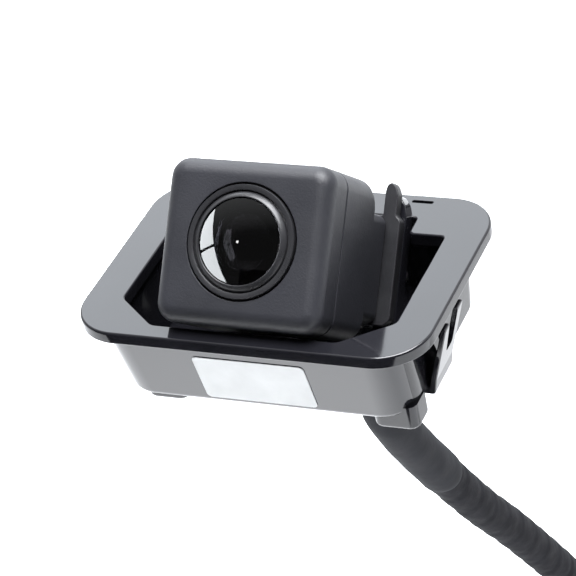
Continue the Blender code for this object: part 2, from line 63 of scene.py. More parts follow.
# Trim frame
FLANGE_W, FLANGE_D, FLANGE_T, FLANGE_CORNER = 57.0, 41.0, 2.0, 8.0
OPEN_HALF_W, OPEN_FRONT_HALF_W = 22.25, 15.0
OPEN_FRONT_Y, OPEN_CHAMFER_Y, OPEN_BACK_Y = -17.4, -11.6, 10.3
RECESS_HALF_W, RECESS_Y = 16.3, 14.6
TUB_DEPTH, TUB_HALF_W, TUB_FRONT_Y, TUB_BACK_Y = 13.3, 24.6, -19.0, 17.5
TUB_CORNER, TUB_WALL, TUB_ROUND = 5.5, 1.6, 1.3
FEET = ((-20.2, -13.3, -15.2, -8.7, 1.0 - TUB_DEPTH, -0.9 - TUB_DEPTH),
        (16.9, 24.1, -14.7, -9.0, -11.5, -2.4 - TUB_DEPTH))
FRONT_SLOPE, SIDE_SLOPE, BACK_SLOPE = 0.2376, 0.06, 0.08
FRONT_LEAN = 13.36              # the front slope in degrees

# Camera block, in its own axes: x right, y back along the optical axis, z up the face
CAMERA_PITCH, CAMERA_Y, CAMERA_Z = 41.5, -11.6, 14.4
BODY_SIZES = (-13.3, 13.3, -12.6, 12.1)
BODY_CORNER, FACE_FILLET, REAR_FILLET, INNER_CORNER = 3.0, 2.5, 1.6, 6.0
BODY_WALL, SEAM_S, BODY_END_S = 1.6, 6.1, 17.6
NECK_TOP, NECK_BOTTOM, NECK_END_S, NECK_INNER_HALF_W = 7.6, -9.3, 23.0, 10.9
PLATE_S, PLATE_T, PLATE_HALF_W = 23.3, 2.0, 15.3
EAR_INNER, EAR_OUTER, EAR_TOP = 12.4, 14.5, 12.7
POST_T, POST_INNER, POST_OUTER, POST_TOP, POST_BOTTOM = 3.0, 11.8, 15.3, 11.0, -10.8
BRACKET_SCREW = (13.5, -1.0)
LENS_HOLE_R, RING_HOLE_R, GLAND_END_S = 6.9, 8.8, 36.0
BORE_R = 4.4                    # cable's way through the neck, the plate and the gland

# Snap tongues
TONGUE_Y, TONGUE_HINGE_X, TONGUE_HINGE_Z = (-8.3, -0.6), 23.4, -13.0
FORK = [(-6.9, 0.0), (-5.4, -7.6), (-2.6, -7.6), (-2.9, 0.0)]     # (Y, Z) of the free end's notch
RECESS_X, ROOT_X, ROOT_TOP_Z, SLOT_MARGIN = 23.6, 21.4, -12.1, 0.4

# Cable, with the route's points as the CAD has them
SLEEVE_D, CABLE_D = 8.2, 7.4
SLEEVE_ROUTE = [(0.0, 17.1, -11.0), (-0.2, 20.8, -15.4), (-0.9, 24.4, -22.3), (-1.8, 26.2, -31.5),
                (-2.4, 26.5, -39.0), (-2.8, 27.5, -45.7), (-3.0, 30.0, -52.2), (-3.0, 36.2, -63.0),
                (-3.0, 46.4, -78.5)]
CABLE_ROUTE = [(-3.0, 46.6, -78.8), (-3.0, 59.8, -97.6), (-3.0, 71.8, -113.4), (-3.0, 86.3, -133.6),
               (-3.0, 100.0, -153.5), (-3.0, 106.0, -164.5), (-3.0, 109.3, -176.0),
               (-3.0, 110.6, -188.0)]

# Studio, in metres
FLOOR_HALF, FLOOR_Z = 4.0, cad_box[0].z - 0.0005
FLOOR_PAINTED_POOL = (0.35, (-0.06, -0.15, FLOOR_Z), 0.05, 0.22, 1.7)     # emission level, then a painted pool of light: a brighter spot round a place
# places of the two sheets that show only in reflections: a painted dim reflection and a painted dark
# reflection
CARD_Z, DARK_REFLECTION_Y = FLOOR_Z + 0.004, -0.17
WORLD_AXIS, WORLD_RANGE, WORLD_SEEN = (-0.15, 0.85, 0.5), (-0.05, 0.9, 0.1, 1.6), 1.5
LENS_PLACE = Vector((0, CAMERA_Y, CAMERA_Z)) * MM
LAMP_OFFSET = (-0.2, -0.322, 0.32)      # from the lens
WINDOW_TOWARDS, WINDOW_AWAY = (-0.7535, -0.5071, 0.4185), 0.5
WINDOW_RADIANCE, WINDOW_TURN, PANE_HEIGHT = 17.0, 38.2, 0.26
WINDOW_PANES = (("upper", 0.194, 0.023, 0.318), ("lower", -0.08, -0.192, 0.346))


def axes_at(place, x, y, z):
    """Matrix with these axes at a place given in millimetres."""
    matrix = Matrix((x, y, z)).transposed().to_4x4()
    matrix.translation = Vector(place) * MM
    return matrix


CAMERA = (Matrix.Translation(Vector((0, CAMERA_Y, CAMERA_Z)) * MM)
          @ Matrix.Rotation(-radians(CAMERA_PITCH), 4, "X"))
FRONT_WALL = (Matrix.Translation(Vector((0, TUB_FRONT_Y, 0)) * MM)
              @ Matrix.Rotation(radians(FRONT_LEAN), 4, "X"))


# ------------------------------------------------------------------ view, cord routes

def add_camera():
    """The photograph's view, from 0.4 m: right of the axis, above, and rolled."""
    azimuth, elevation, roll = radians(28.998), radians(34.488), radians(-12.382)
    right = Vector((cos(azimuth), sin(azimuth), 0))
    back = Vector((sin(azimuth) * cos(elevation), -cos(azimuth) * cos(elevation), sin(elevation)))
    up = back.cross(right)
    view_right = right * cos(roll) + up * sin(roll)
    view_up = up * cos(roll) - right * sin(roll)
    data = bpy.data.cameras.new("view")
    data.sensor_width, data.lens = 36.0, 166.25
    data.clip_start, data.clip_end = 0.01, 20.0
    camera = bpy.data.objects.new("view", data)
    bpy.context.scene.collection.objects.link(camera)
    camera.matrix_world = axes_at(Vector((0.9, -2.4, -0.607)) + back * 402.96,
                                  view_right, view_up, back)
    bpy.context.scene.camera = camera


def smooth_points(route, spacing):
    """Even points along a Catmull-Rom curve through the route."""
    knots = [Vector(p) for p in route]
    knots = [2 * knots[0] - knots[1]] + knots + [2 * knots[-1] - knots[-2]]
    dense = []
    for p0, p1, p2, p3 in zip(knots, knots[1:], knots[2:], knots[3:]):
        for step in range(24):
            t = step / 24
            dense.append(0.5 * (2 * p1 + (p2 - p0) * t + (2 * p0 - 5 * p1 + 4 * p2 - p3) * t * t
                                + (3 * p1 - p0 - 3 * p2 + p3) * t ** 3))
    dense.append(knots[-2])
    places = [0.0]
    for a, b in zip(dense, dense[1:]):
        places.append(places[-1] + (b - a).length)
    count = max(2, round(places[-1] / spacing))
    points, k = [], 0
    for i in range(count + 1):
        target = places[-1] * i / count
        while k < len(dense) - 2 and places[k + 1] < target:
            k += 1
        share = (target - places[k]) / (places[k + 1] - places[k])
        points.append(dense[k].lerp(dense[k + 1], min(share, 1.0)))
    return points


# ------------------------------------------------------------------ mesh helpers

def rounded_rect(x0, x1, z0, z1, radius, steps=4, between=0):
    """Corner by corner outline, anticlockwise; between adds points along each side."""
    points = []
    for x, z, start in ((x1, z1, 0), (x0, z1, 90), (x0, z0, 180), (x1, z0, 270)):
        cx = x - radius if x == x1 else x + radius
        cz = z - radius if z == z1 else z + radius
        for step in range(steps + 1):
            angle = radians(start + 90 * step / steps)
            points.append((cx + radius * cos(angle), cz + radius * sin(angle)))
    if not between:
        return points
    filled = []
    for index, point in enumerate(points):
        filled.append(point)
        if index % (steps + 1) == steps:
            after = Vector(points[(index + 1) % len(points)])
            for k in range(1, between + 1):
                filled.append(tuple(Vector(point).lerp(after, k / (between + 1))))
    return filled


def circle_like(outline, radius):
    return [tuple(Vector(point).normalized() * radius) for point in outline]


def circle(radius, count, cx=0.0, cz=0.0):
    return [(cx + radius * cos(tau * i / count), cz + radius * sin(tau * i / count))
            for i in range(count)]


def neighbours(points):
    return zip(points[-1:] + points[:-1], points, points[1:] + points[:1])


def soften(points, radius, steps=4):
    """A closed outline with each corner rounded, by less where its edges are short."""
    result = []
    for before, here, after in neighbours([Vector(p) for p in points]):
        start = here + (before - here).normalized() * min(radius, 0.45 * (before - here).length)
        end = here + (after - here).normalized() * min(radius, 0.45 * (after - here).length)
        for step in range(steps + 1):
            t = step / steps
            result.append(tuple(start * (1 - t) ** 2 + here * 2 * t * (1 - t) + end * t * t))
    return result


def grown(points, amount):
    """A closed anticlockwise outline with every edge moved out by an amount."""
    result = []
    for before, here, after in neighbours([Vector(p) for p in points]):
        a, b = (here - before).normalized(), (after - here).normalized()
        side_a, side_b = Vector((a.y, -a.x)), Vector((b.y, -b.x))
        result.append(tuple(here + (side_a + side_b) * (amount / (1 + side_a.dot(side_b)))))
    return result


def anticlockwise(points):
    area = sum(a[0] * b[1] - b[0] * a[1] for a, b in zip(points, points[1:] + points[:1]))
    return points if area > 0 else list(reversed(points))


def loft(sections, ring=False, axis="y"):
    """Skin (place, outline) sections; ring joins the last to the first instead of capping."""
    bm = bmesh.new()
    loops = []
    for place, outline in sections:
        if axis == "y":
            loops.append([bm.verts.new((x, place, z)) for x, z in outline])
        else:
            loops.append([bm.verts.new((x, y, place)) for x, y in outline])
    pairs = list(zip(loops, loops[1:]))
    if ring:
        pairs.append((loops[-1], loops[0]))
    for a, b in pairs:
        for i, j in zip(range(len(a)), [*range(1, len(a)), 0]):
            bm.faces.new((a[i], a[j], b[j], b[i]))
    if not ring:
        bm.faces.new(loops[0])
        bm.faces.new(loops[-1])
    return bm


def turned(profile, count=96, ring=False, cx=0.0, cz=0.0):
    """Turn (radius, y) points about the y axis; a ring profile is a closed loop."""
    return loft([(y, circle(r, count, cx, cz)) for r, y in profile], ring=ring)


def fillet_steps(radius, steps=6):
    """(depth along the axis, inset) pairs of a quarter round, from its face outwards."""
    return [(radius * (1 - sin(radians(90 * i / steps))), radius * (1 - cos(radians(90 * i / steps))))
            for i in range(steps, -1, -1)]


def prism(outline, y0, y1, edge, axis="y"):
    """A slab between two places whose rims are rounded; the outline's corners are too."""
    outline = anticlockwise(list(outline))
    sections = []
    for depth, inset in fillet_steps(edge, 4):
        sections.append((y0 + depth, soften(grown(outline, -inset), 2 * edge)))
    for depth, inset in reversed(fillet_steps(edge, 4)):
        sections.append((y1 - depth, soften(grown(outline, -inset), 2 * edge)))
    return loft(sections, axis=axis)


def rectangle(x0, x1, z0, z1):
    return [(x0, z0), (x1, z0), (x1, z1), (x0, z1)]


def solid(name, bm, mat=None, place=Matrix.Identity(4)):
    """A closed bmesh in millimetres becomes an object in metres, at a place."""
    bmesh.ops.recalc_face_normals(bm, faces=bm.faces)
    bmesh.ops.scale(bm, vec=(MM, MM, MM), verts=bm.verts)
    bmesh.ops.transform(bm, matrix=place, verts=bm.verts)
    mesh = bpy.data.meshes.new(name)
    bm.to_mesh(mesh)
    bm.free()
    obj = bpy.data.objects.new(name, mesh)
    bpy.context.scene.collection.objects.link(obj)
    if mat:
        mesh.materials.append(mat)
    return obj


def less(name, bm, place=Matrix.Identity(4)):
    """A step for combined() that takes a shape away."""
    return "DIFFERENCE", solid(name, bm, None, place)


def combined(obj, parts):
    """Run (operation, object) booleans into the mesh; the parts are used up."""
    for operation, part in parts:
        modifier = obj.modifiers.new("step", "BOOLEAN")
        modifier.operation, modifier.solver, modifier.object = operation, "EXACT", part
    mesh = bpy.data.meshes.new_from_object(obj.evaluated_get(bpy.context.evaluated_depsgraph_get()))
    obj.modifiers.clear()
    obj.data = mesh
    for _, part in parts:
        bpy.data.objects.remove(part)
    return obj


def show(obj, nodes, body=BODY):
    """Smooth a finished piece, fix it to its body and let it stand for its CAD nodes."""
    obj.data.shade_smooth()
    obj.data.set_sharp_from_angle(angle=radians(32))
    normals = obj.modifiers.new("flat faces stay flat", "WEIGHTED_NORMAL")
    normals.keep_sharp = True
    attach(obj, body)
    if nodes:
        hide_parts(*nodes)
    return obj


# ------------------------------------------------------------------ materials

class Recipe:
    """A Principled material whose patterns are placed by the object's own coordinates."""

    def __init__(self, name, colour, roughness, **sockets):
        self.name = name
        self.material = bpy.data.materials.new(name)
        self.material.use_nodes = True
        self.tree = self.material.node_tree
        self.shader = self.tree.nodes["Principled BSDF"]
        self.colour, self.roughness = colour, roughness
        self.set("Base Color", (*colour, 1.0))
        self.set("Roughness", roughness)
        for socket, value in sockets.items():
            self.set(socket.replace("_", " "), value)
        self.place = self.tree.nodes.new("ShaderNodeTexCoord").outputs["Object"]

    def set(self, socket, value):
        self.shader.inputs[socket].default_value = value

    def link(self, output, socket):
        self.tree.links.new(output, socket)

    def add(self, kind, **values):
        node = self.tree.nodes.new(kind)
        for key, value in values.items():
            node.inputs[key.replace("_", " ")].default_value = value
        return node

    def noise(self, cell, detail, stretch=(1, 1, 1)):
        """Noise whose cells are about this many millimetres across."""
        mapping = self.add("ShaderNodeMapping", Scale=stretch)
        self.link(self.place, mapping.inputs["Vector"])
        noise = self.add("ShaderNodeTexNoise", Scale=1 / (cell * MM), Detail=detail)
        self.link(mapping.outputs["Vector"], noise.inputs["Vector"])
        return noise.outputs["Fac"]

    def spread(self, source, low, high, frm=0.3, to=0.7):
        """Map a value between two others, from low to high."""
        node = self.add("ShaderNodeMapRange", From_Min=frm, From_Max=to, To_Min=low, To_Max=high)
        self.link(source, node.inputs["Value"])
        return node.outputs["Result"]

    def vary_roughness(self, cell, by, stretch=(1, 1, 1)):
        source = self.noise(cell, 4.0, stretch)
        result = self.spread(source, max(self.roughness - by, 0.01), self.roughness + by)
        self.link(result, self.shader.inputs["Roughness"])
        return self

    def vary_colour(self, cell, other):
        """Patches between the material's colour and another one."""
        mix = self.tree.nodes.new("ShaderNodeMix")
        mix.data_type = "RGBA"
        mix.inputs[6].default_value = (*self.colour, 1.0)
        mix.inputs[7].default_value = (*other, 1.0)
        self.link(self.spread(self.noise(cell, 5.0), 0.0, 1.0), mix.inputs[0])
        self.link(mix.outputs[2], self.shader.inputs["Base Color"])
        return self

    def paint_light_pool(self, level, place, near, far, extra):
        """Emission at a level, and a painted pool of light this much brighter round a place."""
        distance = self.tree.nodes.new("ShaderNodeVectorMath")
        distance.operation = "DISTANCE"
        distance.inputs[1].default_value = place
        self.link(self.place, distance.inputs[0])
        result = self.spread(distance.outputs["Value"], level + extra, level, near, far)
        self.link(result, self.shader.inputs["Emission Strength"])
        return self

    def grain(self, cell, depth, strength):
        """Bump with a depth in millimetres, on top of any bump that is there already."""
        source = self.noise(cell, 2.0)
        node = self.add("ShaderNodeBump", Strength=strength, Distance=depth * MM)
        self.link(source, node.inputs["Height"])
        normal = self.shader.inputs["Normal"]
        if normal.is_linked:
            self.link(normal.links[0].from_socket, node.inputs["Normal"])
        self.link(node.outputs["Normal"], normal)
        return self


def make_materials():
    """One material for each of the record's slots, and a few for parts of a piece."""
    recipes = [
        Recipe("gloss_black", (0.008, 0.008, 0.010), 0.07, IOR=1.52).vary_roughness(9.0, 0.025)
            .vary_colour(14.0, (0.011, 0.011, 0.014)).grain(6.0, 0.004, 0.5),
        Recipe("housing_grey", (0.017, 0.0175, 0.0215), 0.46).vary_roughness(5.0, 0.04)
            .vary_colour(11.0, (0.021, 0.0215, 0.027)).grain(0.32, 0.05, 0.55).grain(0.11, 0.02, 0.5),
        Recipe("plate_black", (0.011, 0.011, 0.013), 0.42).vary_roughness(4.0, 0.06)
            .vary_colour(8.0, (0.015, 0.015, 0.017)).grain(0.25, 0.03, 0.5),
        Recipe("ring_black", (0.02, 0.02, 0.022), 0.3).vary_roughness(3.0, 0.06).grain(0.2, 0.015, 0.5),
        Recipe("lens_glass", (0.05, 0.052, 0.056), 0.0, IOR=1.5, Transmission_Weight=1.0)
            .vary_colour(5.0, (0.056, 0.047, 0.058)),
        Recipe("coated_bead", (0.75, 0.72, 0.8), 0.06, Metallic=1.0).vary_colour(0.7, (0.8, 0.3, 0.4)),
        Recipe("filter_glass", (0.55, 0.78, 0.82), 0.02, IOR=1.5, Transmission_Weight=1.0)
            .vary_colour(3.0, (0.8, 0.5, 0.6)),
        Recipe("barrel_black", (0.006, 0.006, 0.007), 0.5).vary_roughness(2.0, 0.08)
            .grain(0.15, 0.01, 0.4),
        Recipe("rubber_black", (0.016, 0.016, 0.017), 0.7).vary_roughness(3.0, 0.08)
            .vary_colour(6.0, (0.028, 0.028, 0.03)).grain(0.2, 0.03, 0.7),
        Recipe("seal_orange", (0.72, 0.19, 0.03), 0.42, Subsurface_Weight=0.1).vary_roughness(2.0, 0.06)
            .vary_colour(3.0, (0.6, 0.14, 0.02)),
        Recipe("board_green", (0.012, 0.11, 0.035), 0.35).vary_roughness(2.0, 0.08)
            .vary_colour(1.2, (0.02, 0.16, 0.05)).grain(0.5, 0.02, 0.6),
        Recipe("chip_black", (0.018, 0.018, 0.02), 0.45).vary_roughness(1.0, 0.08)
            .vary_colour(1.5, (0.03, 0.03, 0.034)).grain(0.1, 0.01, 0.6),
        Recipe("tin", (0.55, 0.55, 0.53), 0.28, Metallic=1.0).vary_roughness(1.5, 0.08, (1, 1, 8))
            .vary_colour(4.0, (0.45, 0.45, 0.44)),
        Recipe("screw_steel", (0.42, 0.42, 0.43), 0.33, Metallic=1.0).vary_roughness(0.8, 0.1)
            .vary_colour(1.2, (0.3, 0.3, 0.31)).grain(0.15, 0.01, 0.6),
        Recipe("terminal_brass", (0.66, 0.46, 0.17), 0.27, Metallic=1.0).vary_roughness(0.8, 0.08)
            .vary_colour(1.5, (0.5, 0.33, 0.12)),
        Recipe("ivory", (0.62, 0.57, 0.45), 0.45, Subsurface_Weight=0.05).vary_roughness(1.5, 0.06)
            .vary_colour(2.0, (0.55, 0.5, 0.38)),
        Recipe("sleeve_grey", (0.012, 0.0125, 0.015), 0.7, Specular_IOR_Level=0.1)
            .vary_roughness(6.0, 0.07).vary_colour(10.0, (0.016, 0.0165, 0.02)).grain(2.5, 0.12, 0.6)
            .grain(0.3, 0.02, 0.5),
        Recipe("cable_black", (0.007, 0.007, 0.009), 0.7, Specular_IOR_Level=0.06)
            .vary_roughness(3.0, 0.08).vary_colour(5.0, (0.012, 0.012, 0.015)).grain(0.35, 0.06, 0.8)
            .grain(3.0, 0.15, 0.5),
        Recipe("plug_grey", (0.022, 0.022, 0.025), 0.4).vary_roughness(4.0, 0.06)
            .vary_colour(6.0, (0.03, 0.03, 0.034)).grain(0.25, 0.02, 0.5),
        Recipe("label_white", (0.52, 0.53, 0.53), 0.45).vary_roughness(4.0, 0.06)
            .vary_colour(3.0, (0.47, 0.48, 0.48)).grain(0.6, 0.01, 0.5),
        Recipe("sensor", (0.03, 0.05, 0.08), 0.12, Metallic=0.4).vary_roughness(0.6, 0.05)
            .vary_colour(0.8, (0.06, 0.03, 0.08)),
        # the floor glows evenly; the brighter spot near the object is a painted pool of light
        Recipe("floor", (0.86, 0.87, 0.88), 0.75, Emission_Color=(0.97, 0.98, 1.0, 1.0))
            .paint_light_pool(*FLOOR_PAINTED_POOL).vary_roughness(60.0, 0.05).vary_colour(90.0, (0.84, 0.85, 0.86)),
        # painted dim reflection: a faintly glowing sheet that glossy faces mirror instead of the
        # brighter floor behind
        Recipe("painted_dim_reflection", (0.01, 0.01, 0.01), 1.0, Emission_Color=(0.95, 0.97, 1.0, 1.0),
               Emission_Strength=1.7),
        # painted dark reflection: a black sheet that glossy faces mirror and nothing else sees
        Recipe("painted_dark_reflection", (0.002, 0.002, 0.002), 0.9, Specular_IOR_Level=0.0).vary_roughness(60.0, 0.05)
            .vary_colour(60.0, (0.003, 0.003, 0.003)),
    ]
    return {recipe.name: recipe.material for recipe in recipes}


INNER_NODES = {
    "barrel_black": ("aperture_stop", "lens_holder"),
    "lens_glass": ("rear_lens",),
    "filter_glass": ("ir_filter",),
    "rubber_black": ("lens_o_ring",),
    "seal_orange": ("housing_gasket",),
    "sensor": ("image_sensor",),
    "board_green": ("sensor_board", "video_board"),
    "chip_black": ("video_chip",),
    "tin": ("oscillator_can", "shield_can"),
    "ivory": ("board_link", "board_plug"),
    "terminal_brass": ("connector_terminal_a", "connector_terminal_b",
                       "connector_terminal_c", "connector_terminal_d"),
}


def finish_inner_nodes(materials):
    """The CAD's own meshes stay for the pieces inside, with the finished materials."""
    for slot, nodes in INNER_NODES.items():
        for node in nodes:
            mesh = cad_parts[node].data
            mesh.materials.clear()
            mesh.materials.append(materials[slot])


# ------------------------------------------------------------------ trim frame

def tub_outline(z, grow=0.0):
    half_w = TUB_HALF_W + SIDE_SLOPE * z + grow
    front = TUB_FRONT_Y - FRONT_SLOPE * z - grow
    back = TUB_BACK_Y + BACK_SLOPE * z + grow
    return rounded_rect(-half_w, half_w, front, back, TUB_CORNER + grow, 14)


def flange_outline(inset=0.0):
    half_w, half_d = FLANGE_W / 2 - inset, FLANGE_D / 2 - inset
    return rounded_rect(-half_w, half_w, -half_d, half_d, FLANGE_CORNER - inset, 20)


def make_trim_frame(mat):
    """Flange, tub, feet, opening, the tongues' recesses and the posts for the camera's plate."""
    top_round, bottom_round, opening_round = 0.4, 0.25, 0.3
    sections = [(depth, flange_outline(inset)) for depth, inset in fillet_steps(bottom_round, 4)]
    sections += [(FLANGE_T - depth, flange_outline(inset))
                 for depth, inset in reversed(fillet_steps(top_round))]
    shell = solid("bezel_frame_visual", loft(sections, axis="z"), mat)

    sections = [(0.5, tub_outline(0)), (0, tub_outline(0))]
    for rise, shrink in reversed(fillet_steps(TUB_ROUND, 8)):
        sections.append((-TUB_DEPTH + rise, tub_outline(-TUB_DEPTH + rise, -shrink)))
    parts = [("UNION", solid("tub", loft(sections, axis="z")))]

    for x0, x1, y0, y1, top, bottom in FEET:
        sections = [(bottom + depth, rounded_rect(x0 + inset, x1 - inset, y0 + inset, y1 - inset,
                                                  1.5 - inset / 2, 8))
                    for depth, inset in fillet_steps(0.6)]
        sections.append((top, rounded_rect(x0, x1, y0, y1, 1.5, 8)))
        parts.append(("UNION", solid("foot", loft(sections, axis="z"))))

    floor_z = -TUB_DEPTH + TUB_WALL
    hollow = loft([(z, tub_outline(z, -TUB_WALL)) for z in (floor_z, -0.02)], axis="z")
    parts.append(less("hollow", hollow))

    half = [(0.0, OPEN_FRONT_Y), (OPEN_FRONT_HALF_W, OPEN_FRONT_Y), (OPEN_HALF_W, OPEN_CHAMFER_Y),
            (OPEN_HALF_W, OPEN_BACK_Y), (RECESS_HALF_W, OPEN_BACK_Y), (RECESS_HALF_W, RECESS_Y)]
    opening = half[1:] + [(-x, y) for x, y in reversed(half[1:])]
    sections = [(-0.6, soften(opening, 0.8))]
    for depth, inset in reversed(fillet_steps(opening_round)):
        sections.append((FLANGE_T - depth, soften(grown(opening, inset), 0.8)))
    sections.append((FLANGE_T + 1, soften(grown(opening, opening_round), 0.8)))
    parts.append(less("opening", loft(sections, axis="z")))

    notch = soften(rectangle(-8.0, 8.0, -TUB_DEPTH - 3, -2.4), 1.2)
    parts.append(less("notch", loft([(5.5, notch), (TUB_BACK_Y + 1.0, notch)])))
    for side in (-1, 1):
        for inner_x, top in ((RECESS_X, -0.9), (ROOT_X, ROOT_TOP_Z)):
            x0, x1 = sorted((side * inner_x, side * (TUB_HALF_W + 1)))
            slot = rectangle(x0, x1, -TUB_DEPTH - 1, top)
            place = (TONGUE_Y[0] - SLOT_MARGIN, TONGUE_Y[1] + SLOT_MARGIN)
            parts.append(less("slot", loft([(y, slot) for y in place])))
    pry_slot = loft([(z, rounded_rect(13.95, 17.5, 18.3, 19.05, 0.3, 6)) for z in (0.8, FLANGE_T + 1)],
                    axis="z")
    parts.append(less("pry_slot", pry_slot))
    combined(shell, parts)

    parts = []
    start = PLATE_S + PLATE_T + GAP
    for side in (-1, 1):
        post = [(side * x, z) for x, z in
                ((POST_INNER, POST_BOTTOM), (POST_OUTER, POST_BOTTOM), (POST_OUTER, POST_TOP - 3.0),
                 (POST_OUTER - 0.5, POST_TOP - 1.2), (POST_OUTER - 1.5, POST_TOP),
                 (POST_INNER, POST_TOP))]
        parts.append(("UNION", solid("post", prism(post, start, start + POST_T, 0.25), None, CAMERA)))
        hole = turned([(0.9, start - 1), (0.9, start + POST_T + 1)], 32,
                      cx=side * BRACKET_SCREW[0], cz=BRACKET_SCREW[1])
        parts.append(less("hole", hole, CAMERA))
    show(combined(shell, parts), ["bezel_frame"])


def make_tongues(mat):
    """Forked spring tongues, rooted at the tub's bottom edge."""
    profile = [(-1.7, -0.6), (1.2, -0.7), (1.5, -0.4), (2.0, 2.0), (4.9, 11.4), (4.9, 11.8),
               (4.2, 11.8), (1.2, 2.4), (0.8, 0.6), (-1.7, 0.6)]
    for word, side in (("left", -1), ("right", 1)):
        outline = [(side * (TONGUE_HINGE_X + x), TONGUE_HINGE_Z + z) for x, z in profile]
        tongue = solid(f"snap_tongue_{word}_visual", prism(outline, *TONGUE_Y, 0.16), mat)
        ends = sorted((-side * (TONGUE_HINGE_X - 1), -side * (TONGUE_HINGE_X + 7)))
        notch = loft([(end, soften(FORK, 0.7)) for end in ends])
        combined(tongue, [less("notch", notch, Matrix.Rotation(pi / 2, 4, "Z"))])
        show(tongue, [f"snap_tongue_{word}"], f"tongue_{word}")


def make_label(mat):
    """Blank label film on the leaning front wall."""
    outline = rounded_rect(-8.9, 9.3, -12.1, -2.6, 0.8, 6)
    inner = rounded_rect(-8.87, 9.27, -12.07, -2.63, 0.77, 6)
    film = loft([(-0.04, outline), (-0.11, outline), (-0.14, inner)])
    show(solid("label_visual", film, mat, FRONT_WALL), ["label"])


# ------------------------------------------------------------------ camera block

def shell_outline(sizes, amount, radius):
    x0, x1, z0, z1 = sizes
    return rounded_rect(x0 + amount, x1 - amount, z0 + amount, z1 - amount, radius, 8, 9)


SCREW_PLACES = [(side * 10.6, z) for side in (-1, 1) for z in (9.4, -10.9)]
SEAM_EDGE = 0.12                # rounding of the two shells where they meet


def make_housings(mat):
    """The two shells of the camera block, with the seam between them."""
    full = shell_outline(BODY_SIZES, 0, BODY_CORNER)
    eased = shell_outline(BODY_SIZES, SEAM_EDGE, BODY_CORNER - SEAM_EDGE)
    inner = shell_outline(BODY_SIZES, BODY_WALL, INNER_CORNER)
    sections = [(depth, shell_outline(BODY_SIZES, inset, max(BODY_CORNER - inset, 0.8)))
                for depth, inset in fillet_steps(FACE_FILLET, 10)]
    sections += [(SEAM_S - SEAM_EDGE, full), (SEAM_S, eased), (SEAM_S, inner), (2.3, inner)]
    hole_edge = 0.15
    for depth, radius in ((2.3, LENS_HOLE_R), (1.4, LENS_HOLE_R), (1.4, RING_HOLE_R),
                          (hole_edge, RING_HOLE_R), (0.3 * hole_edge, RING_HOLE_R + 0.3 * hole_edge),
                          (0.0, RING_HOLE_R + hole_edge)):
        sections.append((depth, circle_like(inner, radius)))
    front = solid("front_housing_visual", loft(sections, ring=True), mat, CAMERA)
    show(front, ["front_housing"])

    x0, x1, z0, z1 = BODY_SIZES
    start = SEAM_S + GAP
    sections = [(start, eased), (start + SEAM_EDGE, full)]
    for depth, inset in reversed(fillet_steps(REAR_FILLET, 8)):
        sections.append((BODY_END_S - depth,
                         rounded_rect(x0, x1, z0 + inset / 2, z1 - inset, BODY_CORNER, 8, 9)))
    neck = shell_outline((x0, x1, NECK_BOTTOM, NECK_TOP), 0.1, 1.6)
    neck_end = shell_outline((x0, x1, NECK_BOTTOM, NECK_TOP), 0.35, 1.4)
    neck_inner = rounded_rect(-NECK_INNER_HALF_W, NECK_INNER_HALF_W, NECK_BOTTOM + BODY_WALL,
                              NECK_TOP - BODY_WALL, 1.5, 8, 9)
    bore = circle_like(neck_inner, BORE_R)
    sections += [(BODY_END_S, neck), (NECK_END_S - 0.25, neck), (NECK_END_S, neck_end),
                 (NECK_END_S, bore), (NECK_END_S - 1.4, bore), (NECK_END_S - 1.4, neck_inner),
                 (BODY_END_S - 1.6, neck_inner), (BODY_END_S - 1.6, inner), (start, inner)]
    rear = solid("rear_housing_visual", loft(sections, ring=True), mat, CAMERA)
    show(rear, ["rear_housing"])


def make_screw(name, mat, x, z, head_s, tip_s, head_r, shank_r):
    """Pan head with a cross recess at the rear, threaded shank towards the front."""
    height, pitch = 0.9, 0.5
    profile = [(0.05, tip_s), (shank_r * 0.5, tip_s + 0.1), (shank_r * 0.85, tip_s + 0.5)]
    turns = int((head_s - tip_s - 0.8) / pitch)
    for turn in range(turns):
        place = tip_s + 0.6 + turn * pitch
        profile += [(shank_r * 0.8, place), (shank_r, place + 0.25)]
    profile += [(shank_r * 0.8, head_s - 0.1), (shank_r, head_s), (head_r * 0.93, head_s)]
    for step in range(7):
        angle = radians(-8 + 98 * step / 6)
        profile.append((head_r * max(cos(angle), 0.05), head_s + 0.25 * height
                        + 0.75 * height * max(sin(angle), 0)))
    screw = solid(name + "_visual", turned(profile, 40, cx=x, cz=z), mat, CAMERA)
    arm, half = head_r * 0.6, head_r * 0.13
    cuts = []
    for across, up in ((arm, half), (half, arm)):
        bottom = rectangle(x - across * 0.7, x + across * 0.7, z - up * 0.7, z + up * 0.7)
        top = rectangle(x - across, x + across, z - up, z + up)
        cross = loft([(head_s + 0.35 * height, bottom), (head_s + height + 0.2, top)])
        cuts.append(less("cross", cross, CAMERA))
    show(combined(screw, cuts), [name])


